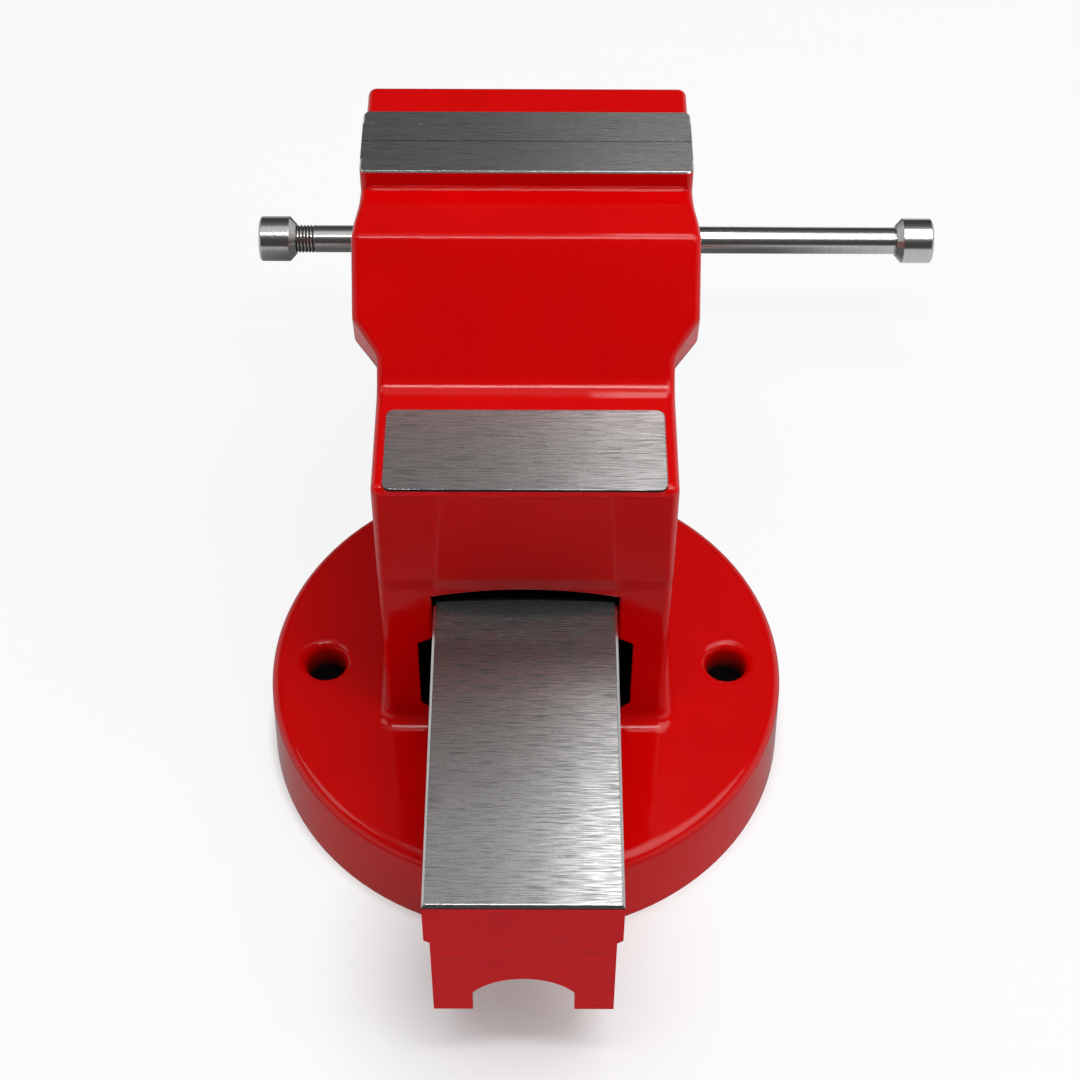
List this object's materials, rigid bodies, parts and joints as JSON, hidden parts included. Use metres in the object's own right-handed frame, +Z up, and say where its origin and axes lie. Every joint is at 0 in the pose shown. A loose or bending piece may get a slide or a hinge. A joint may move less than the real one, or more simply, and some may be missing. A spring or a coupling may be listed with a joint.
{
  "type": "bench vise",
  "caption": "Bench vise with a round bolt-down base, an anvil behind the fixed jaw, a box slide, a screw and a sliding bar handle.",
  "frame": {"origin": "centre of the base's underside, midway between the two bolt holes", "axes": "+Z up, +Y from the back of the vise towards the screw's hub, X across the jaws"},
  "size_m": [0.2515, 0.3272, 0.1845],
  "materials": {
    "red_enamel": "glossy red enamel over cast iron, ground bare on the anvil, the slide's top and the jaw ridges",
    "jaw_steel": "ground tool steel, cross-cut on the working face",
    "polished_steel": "bright turned steel, polished",
    "screw_steel": "machined steel, lightly oiled",
    "fastener_steel": "plain zinc-plated steel",
    "nut_iron": "machined grey iron"
  },
  "bodies": {
    "vise_body": {"vise_body": "red_enamel", "fixed_jaw_plate": "jaw_steel", "fixed_plate_screws": "fastener_steel", "main_nut": "nut_iron", "nut_bolts": "fastener_steel", "nut_washers": "fastener_steel"},
    "moving_jaw": {"moving_jaw": "red_enamel", "moving_jaw_plate": "jaw_steel", "moving_plate_screws": "fastener_steel"},
    "lead_screw": {"lead_screw": "screw_steel", "thrust_washer": "fastener_steel", "retaining_washer": "fastener_steel", "spring_pin": "fastener_steel"},
    "handle": {"handle_bar": "polished_steel", "handle_cap_left": "polished_steel", "handle_cap_right": "polished_steel"}
  },
  "joints": [
    {"name": "jaw_slide", "type": "slide", "parent": "vise_body", "child": "moving_jaw", "axis": [0, 1, 0], "range_m": [0, 0.1]},
    {"name": "screw_turn", "type": "hinge", "parent": "moving_jaw", "child": "lead_screw", "pos_m": [0, 0.1802, 0.0555], "axis": [0, 1, 0], "range_deg": [0, 7200]},
    {"name": "handle_slide", "type": "slide", "parent": "lead_screw", "child": "handle", "axis": [1, 0, 0], "range_m": [-0.12, 0.0695]}
  ],
  "couplings": [
    {"joint": "jaw_slide", "follows": "screw_turn", "m_per_rad": 0.00079577}
  ]
}
